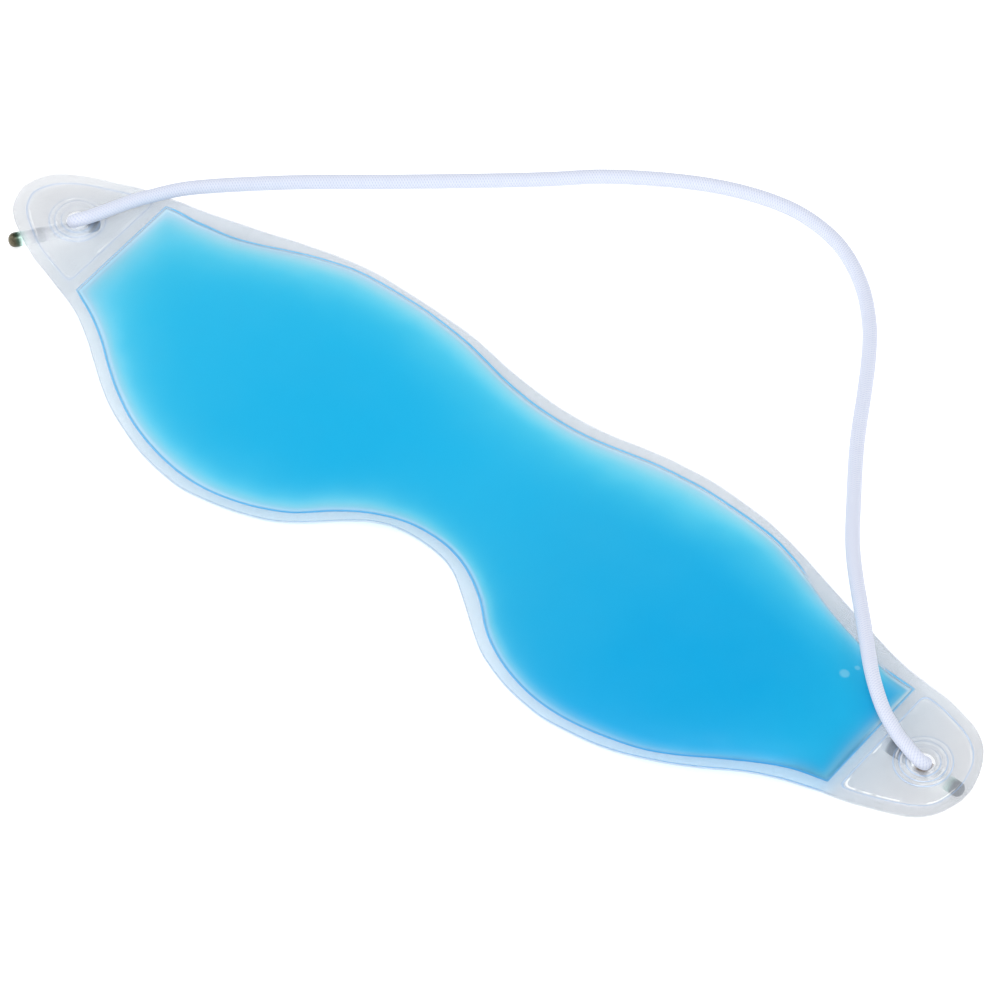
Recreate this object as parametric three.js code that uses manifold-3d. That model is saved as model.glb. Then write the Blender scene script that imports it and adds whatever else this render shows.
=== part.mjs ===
// Gel eye mask with an elastic head cord.
//
// Two clear vinyl sheets are welded together round a butterfly outline. The
// chamber between them holds a cooling gel. Each end of the mask is a small
// tab with a punched hole, and a braided elastic cord runs from one tab to the
// other. A short rolled steel barb is crimped on each end of the cord and lies
// under its tab, so that the cord cannot pull back through the hole.
//
// Millimetres, +Z up. X runs along the mask, the mirror plane is X = 0, and
// the cord lies on the +Y side. The origin is on the resting face of the back
// sheet, below the bridge of the nose.

import * as THREE from 'three';
import { mergeVertices } from 'three/addons/utils/BufferGeometryUtils.js';
import Module from 'manifold-3d';

const wasm = await Module();
wasm.setup();

// ---------------------------------------------------------------- dimensions
const MASK_HALF = 120;        // half of the overall length
const CHAMBER_HALF = 95.7;    // the gel chamber ends in a straight weld here
const SHEET = 0.35;           // thickness of each vinyl sheet
const WELD_Z = 4.3;           // height of the weld plane above the resting face
const WELD_GAP = 0.05;        // clearance kept between the two sheets
const CROWN = 5.0;            // rise of the front sheet above the weld plane
const GEL_GAP = 0.1;          // clearance between the gel and each sheet
const HOLE_X = 107.3;         // centre of each punched hole
const HOLE_Y = 3.7;
const HOLE_R = 2.5;
const CORD_R = 1.4;           // braided jacket, outside
const CORD_BORE_R = 1.05;     // braided jacket, inside
const NECK_R = 0.8;           // crimped ends of the jacket
const NECK_BORE_R = 0.45;
const STRAND_R = 0.28;        // rubber strands in the core
const STRAND_RING = 0.66;     // six strands stand round one in the middle
const BARB_R = 1.55;
const BARB_WALL = 0.35;
const BARB_HALF = 9.6;        // half of a barb's length
const BARB_Z = 2.0;           // height of the barbs' centre lines
const LEFT_NECK = [-108.3, 2.4];
const RIGHT_NECK = [107.7, 4.2];
const LEFT_BARB_ANGLE = 52;   // degrees from +X
const RIGHT_BARB_ANGLE = -3;
const LEFT_BARB_SHIFT = -1.5; // the barb's middle, along itself from its neck

// Outer edge of the sheets: x, lower y, upper y (the mask is symmetric in x).
const OUTLINE = [
  [0, -15.6, 27.1], [6, -16.2, 27.4], [10, -17.8, 27.8], [14, -20.7, 28.4],
  [18, -23.9, 29.3], [22, -27.1, 30.1], [26, -29.8, 30.7], [30, -31.5, 31.0],
  [35, -33.1, 31.3], [40, -34.1, 31.3], [45, -34.7, 31.1], [50, -34.3, 30.8],
  [55, -33.5, 30.0], [60, -32.2, 28.9], [65, -30.3, 27.5], [70, -28.0, 26.1],
  [75, -25.0, 24.6], [80, -21.6, 23.2], [85, -18.4, 21.8], [91, -15.2, 20.3],
  [95.7, -13.4, 19.4], [98, -12.7, 18.9], [101, -11.8, 18.4], [104, -10.8, 17.8],
  [107.3, -9.8, 17.0], [110, -8.8, 16.1], [112, -7.8, 15.2], [114, -6.4, 14.0],
  [116, -4.9, 12.3], [117.5, -3.3, 10.5], [118.5, -1.8, 8.9], [119.3, 0.4, 6.7],
  [120, 3.0, 4.2],
];

// Weld line of the gel chamber.
const CHAMBER = [
  [0, -13.1, 24.7], [6, -13.7, 24.9], [12, -15.9, 25.7], [18, -19.7, 27.0],
  [24, -25.0, 28.3], [30, -28.4, 29.1], [36, -30.5, 29.6], [41.5, -31.6, 29.6],
  [47.4, -31.8, 29.4], [53.4, -31.1, 28.7], [59.3, -29.7, 27.2], [65.2, -27.5, 25.6],
  [71.2, -24.2, 23.9], [77.1, -20.3, 22.2], [83, -16.2, 20.5], [89, -13.1, 18.5],
  [95.7, -10.8, 16.9],
];

// Centre line of the cord between its necks, with its height above the table.
const CORD_PATH = [
  [-107.9, 3.0, 4.05], [-107.75, 3.2, 4.5], [-107.55, 3.5, 5.0], [-107.2, 4.0, 5.7],
  [-106.3, 5.4, 6.35], [-104.6, 8.0, 6.7], [-99.8, 15.5, 6.6], [-91.9, 26.6, 5.2],
  [-79.6, 40.1, 3.1], [-60.7, 56.9, 1.7], [-41.2, 73.6, 1.45], [-32.6, 81.4, 1.45],
  [-21, 89.5, 1.45], [-10.9, 94.9, 1.45], [-1.1, 98.2, 1.45], [6.7, 99.1, 1.45],
  [16.5, 97.4, 1.45], [26.1, 92.0, 1.45], [33.7, 84.6, 1.45], [38.6, 77.8, 1.45],
  [43.3, 70.1, 1.5], [49.6, 59.4, 1.8], [58.1, 46.9, 2.9], [66.7, 35.1, 4.9],
  [80.3, 20.4, 7.9], [88.9, 11.6, 8.6], [95.3, 7.0, 8.1], [101.5, 4.9, 7.5],
  [104.6, 4.5, 7.1], [106.3, 4.3, 6.5], [107.3, 4.2, 5.6], [107.6, 4.2, 4.9],
  [107.7, 4.2, 4.5], [107.7, 4.2, 4.05],
];

// ------------------------------------------------------------------- helpers
const rad = (degrees) => degrees * Math.PI / 180;

// Smooth curve through the rows of a table, read at |x|.
function reader(table, column) {
  const xs = table.map((row) => row[0]);
  const ys = table.map((row) => row[column]);
  const slope = xs.map((_, i) => {
    if (i === 0) return 0;
    if (i === xs.length - 1) return (ys[i] - ys[i - 1]) / (xs[i] - xs[i - 1]);
    return (ys[i + 1] - ys[i - 1]) / (xs[i + 1] - xs[i - 1]);
  });
  return (x) => {
    const a = Math.min(Math.abs(x), xs[xs.length - 1]);
    let i = 0;
    while (i < xs.length - 2 && xs[i + 1] < a) i += 1;
    const h = xs[i + 1] - xs[i];
    const t = (a - xs[i]) / h;
    return (2 * t ** 3 - 3 * t * t + 1) * ys[i] + (t ** 3 - 2 * t * t + t) * h * slope[i]
      + (-2 * t ** 3 + 3 * t * t) * ys[i + 1] + (t ** 3 - t * t) * h * slope[i + 1];
  };
}
const edgeLow = reader(OUTLINE, 1);
const edgeHigh = reader(OUTLINE, 2);
const weldLow = reader(CHAMBER, 1);
const weldHigh = reader(CHAMBER, 2);

// How full the chamber is at x and at a fraction s across it, from 0 to 1.
function fullness(x, s) {
  const across = Math.max(0, 1 - Math.abs(2 * s - 1) ** 2.6) ** 0.75;
  const along = Math.max(0, 1 - (Math.abs(x) / CHAMBER_HALF) ** 6) ** 0.8;
  return across * along;
}
const bridge = (x) => 1 - 0.2 * Math.exp(-((x / 26) ** 2));
const frontInside = (x, s) => WELD_Z + WELD_GAP / 2 + CROWN * bridge(x) * fullness(x, s);
const backInside = (x, s) => {
  const top = WELD_Z - WELD_GAP / 2;
  return top - (top - SHEET) * Math.min(1, 1.5 * fullness(x, s));
};

function solid(positions, triangles) {
  const geometry = new THREE.BufferGeometry();
  geometry.setAttribute('position', new THREE.Float32BufferAttribute(positions, 3));
  geometry.setIndex(triangles);
  return geometry;
}

// Closed slab over a grid of points. low and high give the two surfaces' z.
function slab(points, low, high) {
  const rows = points.length;
  const cols = points[0].length;
  const positions = [];
  for (const z of [low, high]) {
    for (let i = 0; i < rows; i += 1) {
      for (let j = 0; j < cols; j += 1) positions.push(points[i][j][0], points[i][j][1], z[i][j]);
    }
  }
  const at = (side, i, j) => side * rows * cols + i * cols + j;
  const triangles = [];
  const quad = (a, b, c, d) => triangles.push(a, b, c, a, c, d);
  for (let i = 0; i < rows - 1; i += 1) {
    for (let j = 0; j < cols - 1; j += 1) {
      quad(at(1, i, j), at(1, i + 1, j), at(1, i + 1, j + 1), at(1, i, j + 1));
      triangles.push(at(0, i, j), at(0, i + 1, j + 1), at(0, i + 1, j));
      triangles.push(at(0, i, j), at(0, i, j + 1), at(0, i + 1, j + 1));
    }
  }
  for (let i = 0; i < rows - 1; i += 1) {
    quad(at(0, i, 0), at(0, i + 1, 0), at(1, i + 1, 0), at(1, i, 0));
    quad(at(0, i + 1, cols - 1), at(0, i, cols - 1), at(1, i, cols - 1), at(1, i + 1, cols - 1));
  }
  for (let j = 0; j < cols - 1; j += 1) {
    quad(at(0, 0, j + 1), at(0, 0, j), at(1, 0, j), at(1, 0, j + 1));
    quad(at(0, rows - 1, j), at(0, rows - 1, j + 1), at(1, rows - 1, j + 1), at(1, rows - 1, j));
  }
  return solid(positions, triangles);
}

// A tube with closed ends, or with an open bore when inner radii are given.
function sweep(stations, sides, outer, inner, offset = [0, 0]) {
  const positions = [];
  const ring = (station, r) => {
    for (let k = 0; k < sides; k += 1) {
      const a = 2 * Math.PI * (k + 0.5) / sides;
      const u = offset[0] + r * Math.cos(a);
      const v = offset[1] + r * Math.sin(a);
      const p = station.p.clone().addScaledVector(station.n, u).addScaledVector(station.b, v);
      positions.push(p.x, p.y, p.z);
    }
  };
  stations.forEach((station, i) => ring(station, outer[i]));
  if (inner) stations.forEach((station, i) => ring(station, inner[i]));
  const count = stations.length;
  const at = (i, k) => i * sides + (k % sides);
  const triangles = [];
  const quad = (a, b, c, d) => triangles.push(a, b, c, a, c, d);
  for (let i = 0; i < count - 1; i += 1) {
    for (let k = 0; k < sides; k += 1) {
      quad(at(i, k), at(i, k + 1), at(i + 1, k + 1), at(i + 1, k));
      if (inner) quad(at(count + i, k + 1), at(count + i, k), at(count + i + 1, k), at(count + i + 1, k + 1));
    }
  }
  const last = count - 1;
  for (let k = 0; k < sides; k += 1) {
    if (inner) {
      quad(at(0, k + 1), at(0, k), at(count, k), at(count, k + 1));
      quad(at(last, k), at(last, k + 1), at(count + last, k + 1), at(count + last, k));
    } else if (k > 0 && k < sides - 1) {
      triangles.push(at(0, 0), at(0, k + 1), at(0, k));
      triangles.push(at(last, 0), at(last, k), at(last, k + 1));
    }
  }
  return solid(positions, triangles);
}

function toManifold(geometry) {
  const bare = geometry.clone();
  bare.deleteAttribute('normal');
  bare.deleteAttribute('uv');
  const merged = mergeVertices(bare, 1e-4);
  return new wasm.Manifold(new wasm.Mesh({
    numProp: 3,
    vertProperties: Float32Array.from(merged.attributes.position.array),
    triVerts: Uint32Array.from(merged.index.array),
  }));
}

function fromManifold(manifold) {
  const mesh = manifold.getMesh();
  return solid(Array.from(mesh.vertProperties), Array.from(mesh.triVerts));
}

// -------------------------------------------------------------------- sheets
const chamberXs = [0, 8, 14, 20, 26, 33, 41, 50, 59, 67, 74, 80, 85, 89, 92.5, 94.6, CHAMBER_HALF];
const tabXs = [98, 101.5, 105, 109, 113, 116, 118, 119.2, MASK_HALF];
const halfXs = [...chamberXs, ...tabXs];
const allXs = [...halfXs.slice(1).reverse().map((x) => -x), ...halfXs];
const chamberCols = [...chamberXs.slice(1).reverse().map((x) => -x), ...chamberXs];
const ACROSS = [0, 0.04, 0.12, 0.25, 0.42, 0.58, 0.75, 0.88, 0.96, 1];

// Rows run from the lower edge to the upper edge: edge, weld line, chamber,
// weld line, edge. Past the chamber's end the same rows fan out over the tab.
function sheetPoints() {
  return allXs.map((x) => {
    const low = edgeLow(x);
    const high = edgeHigh(x);
    let a = weldLow(x);
    let b = weldHigh(x);
    if (Math.abs(x) > CHAMBER_HALF) {
      const lowShare = (weldLow(CHAMBER_HALF) - edgeLow(CHAMBER_HALF))
        / (edgeHigh(CHAMBER_HALF) - edgeLow(CHAMBER_HALF));
      const highShare = (weldHigh(CHAMBER_HALF) - edgeLow(CHAMBER_HALF))
        / (edgeHigh(CHAMBER_HALF) - edgeLow(CHAMBER_HALF));
      a = low + (high - low) * lowShare;
      b = low + (high - low) * highShare;
    }
    return [[x, low], ...ACROSS.map((s) => [x, a + (b - a) * s]), [x, high]];
  });
}
const points = sheetPoints();
const rowsZ = (surface) => allXs.map((x) => {
  const inside = Math.abs(x) <= CHAMBER_HALF ? ACROSS.map((s) => surface(x, s)) : ACROSS.map(() => surface(0, 0));
  return [surface(0, 0), ...inside, surface(0, 0)];
});
const shifted = (z, d) => z.map((row) => row.map((value) => value + d));

const frontLow = rowsZ(frontInside);
const backHigh = rowsZ(backInside);

function punched(geometry) {
  let body = toManifold(geometry);
  for (const side of [-1, 1]) {
    const punch = new THREE.CylinderGeometry(HOLE_R, HOLE_R, 12, 24);
    punch.rotateX(Math.PI / 2);
    punch.translate(side * HOLE_X, HOLE_Y, WELD_Z);
    body = body.subtract(toManifold(punch));
  }
  return fromManifold(body);
}
const frontSheet = punched(slab(points, frontLow, shifted(frontLow, SHEET)));
const backSheet = punched(slab(points, shifted(backHigh, -SHEET), backHigh));

// ----------------------------------------------------------------------- gel
// The gel follows the inside of both sheets and stops just short of the weld.
function gelFill() {
  const first = allXs.indexOf(chamberCols[0]);
  const take = (grid) => grid.slice(first, first + chamberCols.length).map((row) => row.slice(1, -1));
  const inset = (grid, mix) => {
    const g = take(grid).map((row) => row.slice());
    const n = g.length;
    const m = g[0].length;
    for (const row of g) {
      row[0] = mix(row[0], row[1]);
      row[m - 1] = mix(row[m - 1], row[m - 2]);
    }
    for (let j = 0; j < m; j += 1) {
      g[0][j] = mix(g[0][j], g[1][j]);
      g[n - 1][j] = mix(g[n - 1][j], g[n - 2][j]);
    }
    return g;
  };
  const T = 0.45;
  const blend = (a, b) => a + (b - a) * T;
  const blend2 = (a, b) => [blend(a[0], b[0]), blend(a[1], b[1])];
  const xy = inset(points, blend2);
  const high = shifted(inset(frontLow, blend), -GEL_GAP);
  const low = shifted(inset(backHigh, blend), GEL_GAP);
  return slab(xy, low, high);
}

// ---------------------------------------------------------------------- cord
function cordStations() {
  const via = CORD_PATH.map((p) => new THREE.Vector3(...p));
  const curve = new THREE.CatmullRomCurve3(via, false, 'centripetal');
  curve.arcLengthDivisions = 2000;
  const length = curve.getLength();
  // Stations are close together where the cord turns out of the holes.
  const marks = [];
  for (const d of [0, 0.6, 1.2, 1.9, 2.6, 3.4, 4.4, 6, 9, 13, 18, 25]) marks.push(d);
  const middle = length - 50;
  for (let i = 1; i < 34; i += 1) marks.push(25 + middle * i / 34);
  for (const d of [25, 18, 13, 9, 6, 4.4, 3.4, 2.6, 1.9, 1.2, 0.6, 0]) marks.push(length - d);
  const centre = [];
  for (const z of [1.2, 3.6]) centre.push({ p: new THREE.Vector3(...LEFT_NECK, z), neck: true, rise: 1 });
  for (const d of marks) {
    const rise = d === 0 ? 1 : d === length ? -1 : 0;
    centre.push({ p: curve.getPointAt(d / length), neck: false, rise });
  }
  for (const z of [3.6, 1.2]) centre.push({ p: new THREE.Vector3(...RIGHT_NECK, z), neck: true, rise: -1 });
  // Frames carried along the curve without twist.
  const tangents = centre.map((station, i) => (station.rise
    ? new THREE.Vector3(0, 0, station.rise)
    : centre[i + 1].p.clone().sub(centre[i - 1].p).normalize()));
  let normal = new THREE.Vector3(1, 0, 0);
  return centre.map((station, i) => {
    const t = tangents[i];
    normal = normal.clone().addScaledVector(t, -normal.dot(t)).normalize();
    return { ...station, n: normal.clone(), b: new THREE.Vector3().crossVectors(t, normal) };
  });
}
const stations = cordStations();
const jacket = sweep(stations, 8, stations.map((s) => (s.neck ? NECK_R : CORD_R)),
  stations.map((s) => (s.neck ? NECK_BORE_R : CORD_BORE_R)));
const coreStations = stations.slice(3, -3);
const strand = (index) => {
  const a = 2 * Math.PI * index / 6;
  const offset = index === 6 ? [0, 0] : [STRAND_RING * Math.cos(a), STRAND_RING * Math.sin(a)];
  return sweep(coreStations, 4, coreStations.map(() => STRAND_R), null, offset);
};

// --------------------------------------------------------------------- barbs
// A strip of steel rolled into a tube with rounded ends. The seam stays open
// along the bottom, and the cord enters through an eye in the top.
function capsuleProfile(r, half) {
  const profile = [new THREE.Vector2(0, -half)];
  for (const a of [-60, -30, 0]) profile.push(new THREE.Vector2(r * Math.cos(rad(a)), -half + r + r * Math.sin(rad(a))));
  for (const a of [0, 30, 60]) profile.push(new THREE.Vector2(r * Math.cos(rad(a)), half - r + r * Math.sin(rad(a))));
  profile.push(new THREE.Vector2(0, half));
  return profile;
}

function barb(neck, angle, shift) {
  const shell = new THREE.LatheGeometry(capsuleProfile(BARB_R, BARB_HALF), 18);
  const bore = new THREE.LatheGeometry(capsuleProfile(BARB_R - BARB_WALL, BARB_HALF - BARB_WALL), 18);
  for (const g of [shell, bore]) g.rotateZ(-Math.PI / 2);
  const seam = new THREE.BoxGeometry(2 * (BARB_HALF - BARB_R), 0.4, 2);
  seam.translate(0, 0, -BARB_R);
  const eye = new THREE.CylinderGeometry(NECK_R + 0.3, NECK_R + 0.3, 3, 16);
  eye.rotateX(Math.PI / 2);
  eye.translate(-shift, 0, 1.5);
  const body = toManifold(shell).subtract(toManifold(bore)).subtract(toManifold(seam)).subtract(toManifold(eye));
  const geometry = fromManifold(body);
  geometry.translate(shift, 0, 0);
  geometry.rotateZ(rad(angle));
  geometry.translate(neck[0], neck[1], BARB_Z);
  return geometry;
}

// --------------------------------------------------------------------- group
const vinyl = () => new THREE.MeshStandardMaterial({
  color: 0xdfe3ea, roughness: 0.12, metalness: 0, transparent: true, opacity: 0.35,
});
const gelMaterial = new THREE.MeshStandardMaterial({ color: 0x2cbaeb, roughness: 0.25, metalness: 0 });
const braid = new THREE.MeshStandardMaterial({ color: 0xeceef8, roughness: 0.8, metalness: 0 });
const rubber = () => new THREE.MeshStandardMaterial({ color: 0xe6ddc4, roughness: 0.6, metalness: 0 });
const plated = () => new THREE.MeshStandardMaterial({ color: 0x6f7d76, roughness: 0.3, metalness: 0.9 });

const part = new THREE.Group();
function add(name, geometry, material) {
  const mesh = new THREE.Mesh(geometry, material);
  mesh.name = name;
  part.add(mesh);
}

add('front_sheet', frontSheet, vinyl());
add('back_sheet', backSheet, vinyl());
add('gel_fill', gelFill(), gelMaterial);
add('cord_jacket', jacket, braid);
for (let i = 0; i < 7; i += 1) add(`rubber_strand_${i + 1}`, strand(i), rubber());
add('left_barb', barb(LEFT_NECK, LEFT_BARB_ANGLE, LEFT_BARB_SHIFT), plated());
add('right_barb', barb(RIGHT_NECK, RIGHT_BARB_ANGLE, 0), plated());

export default part;
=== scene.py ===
import math

import bpy
import numpy as np
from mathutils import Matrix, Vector


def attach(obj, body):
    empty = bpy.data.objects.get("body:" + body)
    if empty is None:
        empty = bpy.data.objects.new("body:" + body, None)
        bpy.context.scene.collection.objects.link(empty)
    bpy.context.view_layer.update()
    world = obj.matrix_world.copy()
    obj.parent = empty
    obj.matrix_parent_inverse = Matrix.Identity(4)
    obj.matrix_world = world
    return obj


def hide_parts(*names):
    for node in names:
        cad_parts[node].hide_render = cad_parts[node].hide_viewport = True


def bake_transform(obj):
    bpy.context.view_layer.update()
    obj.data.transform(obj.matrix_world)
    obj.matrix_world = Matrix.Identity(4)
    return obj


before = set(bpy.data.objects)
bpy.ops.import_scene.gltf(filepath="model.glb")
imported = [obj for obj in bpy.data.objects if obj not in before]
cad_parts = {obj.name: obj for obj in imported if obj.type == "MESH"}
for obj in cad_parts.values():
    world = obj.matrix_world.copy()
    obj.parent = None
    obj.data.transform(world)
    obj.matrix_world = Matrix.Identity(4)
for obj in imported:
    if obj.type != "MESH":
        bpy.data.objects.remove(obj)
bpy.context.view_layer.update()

MM = 0.001

# ---------------------------------------------------------------- dimensions
MASK_HALF = 120.0
CH = 95.7              # the gel chamber ends in a straight weld here
SHEET = 0.35
WELD_Z = 4.3
GAP = 0.025
CROWN = 5.0
HOLE = np.array([107.3, 3.7])
HOLE_R = 2.5
CORD_R = 1.4
BAR = 98.1             # the tab pocket's straight side
POCKET_IN = 2.35       # the pocket line stands this far inside the tab's edge

OUTLINE = np.array([
    [0, -15.6, 27.1], [6, -16.2, 27.4], [10, -17.8, 27.8], [14, -20.7, 28.4],
    [18, -23.9, 29.3], [22, -27.1, 30.1], [26, -29.8, 30.7], [30, -31.5, 31.0],
    [35, -33.1, 31.3], [40, -34.1, 31.3], [45, -34.7, 31.1], [50, -34.3, 30.8],
    [55, -33.5, 30.0], [60, -32.2, 28.9], [65, -30.3, 27.5], [70, -28.0, 26.1],
    [75, -25.0, 24.6], [80, -21.6, 23.2], [85, -18.4, 21.8], [91, -15.2, 20.3],
    [95.7, -13.4, 19.4], [98, -12.7, 18.9], [101, -11.8, 18.4], [104, -10.8, 17.8],
    [107.3, -9.8, 17.0], [110, -8.8, 16.1], [112, -7.8, 15.2], [114, -6.4, 14.0],
    [116, -4.9, 12.3], [117.5, -3.3, 10.5], [118.5, -1.8, 8.9], [119.3, 0.4, 6.7],
    [120, 3.0, 4.2]], float)
CHAMBER = np.array([
    [0, -13.1, 24.7], [6, -13.7, 24.9], [12, -15.9, 25.7], [18, -19.7, 27.0],
    [24, -25.0, 28.3], [30, -28.4, 29.1], [36, -30.5, 29.6], [41.5, -31.6, 29.6],
    [47.4, -31.8, 29.4], [53.4, -31.1, 28.7], [59.3, -29.7, 27.2], [65.2, -27.5, 25.6],
    [71.2, -24.2, 23.9], [77.1, -20.3, 22.2], [83, -16.2, 20.5], [89, -13.1, 18.5],
    [95.7, -10.8, 16.9]], float)


def reader(table, column):
    """Smooth curve through the rows of a table, read at |x|."""
    xs, ys = table[:, 0], table[:, column]
    slope = np.empty_like(xs)
    slope[1:-1] = (ys[2:] - ys[:-2]) / (xs[2:] - xs[:-2])
    slope[0] = 0
    slope[-1] = (ys[-1] - ys[-2]) / (xs[-1] - xs[-2])

    def read(x):
        a = np.minimum(np.abs(np.asarray(x, float)), xs[-1])
        i = np.clip(np.searchsorted(xs, a, side="right") - 1, 0, len(xs) - 2)
        h = xs[i + 1] - xs[i]
        t = (a - xs[i]) / h
        return ((2 * t**3 - 3 * t**2 + 1) * ys[i] + (t**3 - 2 * t**2 + t) * h * slope[i]
                + (-2 * t**3 + 3 * t**2) * ys[i + 1] + (t**3 - t**2) * h * slope[i + 1])
    return read


edge_low, edge_high = reader(OUTLINE, 1), reader(OUTLINE, 2)
weld_low, weld_high = reader(CHAMBER, 1), reader(CHAMBER, 2)


# How the soft mask lies: it is not quite symmetric any more. Each row is x, then how far the
# points there have moved: along x, and in y at the low edge, low weld, high weld and high edge.
LIE = np.array([
    [-120, -1.8, 0.1, 0.1, -0.6, -0.6], [-113.5, -0.2, 0.3, 0.3, -0.9, -0.9], [-110, 0, 0.4, 0.4, -1, -1],
    [-107.3, 0, 0.3, 0.3, -0.9, -0.9], [-102, 0.1, 0.3, 0.3, -0.1, 0.1], [-95.7, 0.3, 0.1, 0.39, 0.58, 0.5],
    [-92, 0.1, 0, 0, 0.35, 0.7], [-86, -0.2, -0.35, -0.5, -0.7, 0.6], [-80, -0.5, -0.68, -0.78, -1.6, 0.45],
    [-74, -0.7, -0.72, -0.87, -1.4, 0.4], [-68, -0.9, -0.65, -0.75, -0.6, 0.5],
    [-62, -1.1, -0.53, -0.7, 0.1, 0.4], [-56, -1.35, -0.65, -0.75, 0.25, 0.3],
    [-48, -1.6, -0.7, -0.92, 0.2, 0.15], [-38, -1.6, -0.48, -1.1, 0.2, -0.2],
    [-29, -1.6, -0.55, -1.22, 0.25, -0.1], [-20, -1.6, -0.4, -1.5, 0.3, 0.2],
    [-14, -1.6, 0.05, -1.1, 0.2, 0.35], [-8, -1.6, -0.1, -0.8, 0.1, 0.3], [0, -1.6, -0.08, -0.3, -0.15, 0.17],
    [10, -1.5, 0, 0.05, -0.3, 0.02], [22, -1.4, 0.55, 0.05, -0.35, 0.12], [34, -1.3, 0.45, 0, -0.4, 0.42],
    [46, -1.2, 0.65, 0.16, -0.6, 0.2], [58, -0.9, 0.8, 0.3, -0.6, -0.25], [64, -0.8, 0.85, 0.12, -1.1, -0.45],
    [70, -0.65, 0.93, 0.15, -2, -0.6], [76, -0.5, 0.8, 0.3, -2.4, -0.6], [82, -0.35, 0.68, -0.12, -2.4, -0.6],
    [88, -0.2, -0.05, -0.22, -2.1, -0.7], [92, -0.1, -0.6, -0.45, -1.4, -0.6],
    [95.7, 0, -0.75, -0.71, -0.68, -0.3], [102, 0, -1.05, -1.1, 0.2, 0.4], [107.3, 0, -0.8, -0.95, 0.3, 0.4],
    [110, 0, -0.7, -0.85, 0.4, 0.5], [113.5, -0.1, -0.85, -1, 0.25, 0.25], [120, -1.6, -1.2, -1.2, 0.2, 0.2]], float)


def lie_at(column, x):
    """Smooth curve through one column of the table, read at x."""
    xs, ys = LIE[:, 0], LIE[:, column]
    slope = np.zeros_like(xs)
    slope[1:-1] = (ys[2:] - ys[:-2]) / (xs[2:] - xs[:-2])
    i = np.clip(np.searchsorted(xs, x, side="right") - 1, 0, len(xs) - 2)
    h = xs[i + 1] - xs[i]
    t = np.clip((x - xs[i]) / h, 0, 1)
    return ((2 * t**3 - 3 * t**2 + 1) * ys[i] + (t**3 - 2 * t**2 + t) * h * slope[i]
            + (-2 * t**3 + 3 * t**2) * ys[i + 1] + (t**3 - t**2) * h * slope[i + 1])


def laid(x, y):
    """Where a point of the symmetric mask lies on the table."""
    lo, wl, wh, hi = edge_low(x), weld_low(x), weld_high(x), edge_high(x)
    d = [lie_at(k, x) for k in (2, 3, 4, 5)]
    tab = smooth(CH, CH + 6, np.abs(x))            # there is no weld line beyond the bar
    wl = wl * (1 - tab) + (lo + 0.2 * (hi - lo)) * tab
    wh = wh * (1 - tab) + (lo + 0.8 * (hi - lo)) * tab
    f = lambda a, b: np.clip((y - a) / np.maximum(b - a, 1e-6), 0, 1)
    dy = d[0] + (d[1] - d[0]) * f(lo, wl) + (d[2] - d[1]) * f(wl, wh) + (d[3] - d[2]) * f(wh, hi)
    # the ring of material round each hole stays round and in place
    near = np.hypot(np.abs(x) - HOLE[0], y - HOLE[1])
    hold = smooth(4.5, 9.0, near)
    return x + lie_at(1, x) * hold, y + dy * hold


def smooth(a, b, x):
    t = np.clip((x - a) / (b - a), 0, 1)
    return t * t * (3 - 2 * t)


def gauss(x, w):
    return np.exp(-(x / w) ** 2)


# ------------------------------------------------------------- mesh plumbing
def make_object(name, verts_mm, faces, smooth_shade=True):
    """faces: list of int arrays, each (n, 3) or (n, 4)."""
    mesh = bpy.data.meshes.new(name)
    verts = np.asarray(verts_mm, np.float64) * MM
    loops = np.concatenate([f.ravel() for f in faces]).astype(np.int32)
    sizes = np.concatenate([np.full(len(f), f.shape[1]) for f in faces]).astype(np.int32)
    starts = np.concatenate([[0], np.cumsum(sizes)[:-1]]).astype(np.int32)
    mesh.vertices.add(len(verts))
    mesh.vertices.foreach_set("co", verts.astype(np.float32).ravel())
    mesh.loops.add(len(loops))
    mesh.loops.foreach_set("vertex_index", loops)
    mesh.polygons.add(len(sizes))
    mesh.polygons.foreach_set("loop_start", starts)
    mesh.polygons.foreach_set("loop_total", sizes)
    mesh.polygons.foreach_set("use_smooth", np.full(len(sizes), smooth_shade))
    mesh.update(calc_edges=True)
    mesh.validate()
    obj = bpy.data.objects.new(name, mesh)
    bpy.context.scene.collection.objects.link(obj)
    return obj


def attribute(obj, name, values):
    a = obj.data.attributes.new(name, "FLOAT", "POINT")
    a.data.foreach_set("value", np.asarray(values, np.float32))


def grid_faces(rows, cols, base=0, flip=False, wrap=False):
    """Quads of a rows x cols grid of vertices, numbered row by row."""
    i, j = np.meshgrid(np.arange(rows - 1), np.arange(cols if wrap else cols - 1), indexing="ij")
    i, j = i.ravel(), j.ravel()
    k = (j + 1) % cols
    a, b, c, d = i * cols + j, (i + 1) * cols + j, (i + 1) * cols + k, i * cols + k
    quads = np.stack([a, b, c, d] if not flip else [a, d, c, b], 1) + base
    return quads


# --------------------------------------------------------------- sheet layout
# One layout of points serves both sheets and the gel: straight columns over
# the chamber and rings round each hole over the tabs.
def mirror_list(values):
    return sorted(set([round(-v, 6) for v in values] + [round(v, 6) for v in values]))


end_steps = [0, 0.12, 0.24, 0.38, 0.55, 0.8, 1.15, 1.6, 2.2, 2.9]
col_x = [CH - s for s in end_steps] + list(np.arange(0, CH - 3.2, 0.78))
COLS = np.array(mirror_list(col_x))
FLANGE = [0, 0.05, 0.10, 0.17, 0.28, 0.42, 0.58, 0.74, 0.86, 0.94, 0.98, 1.0]
half = [0, .0030, .0060, .0095, .014, .020, .028, .039, .053, .070, .090, .113, .138,
        .165, .195, .228, .263, .300, .338, .378, .418, .459]
ACROSS = np.array(half + [0.5] + [1 - v for v in reversed(half)])
NA = len(ACROSS)


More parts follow.
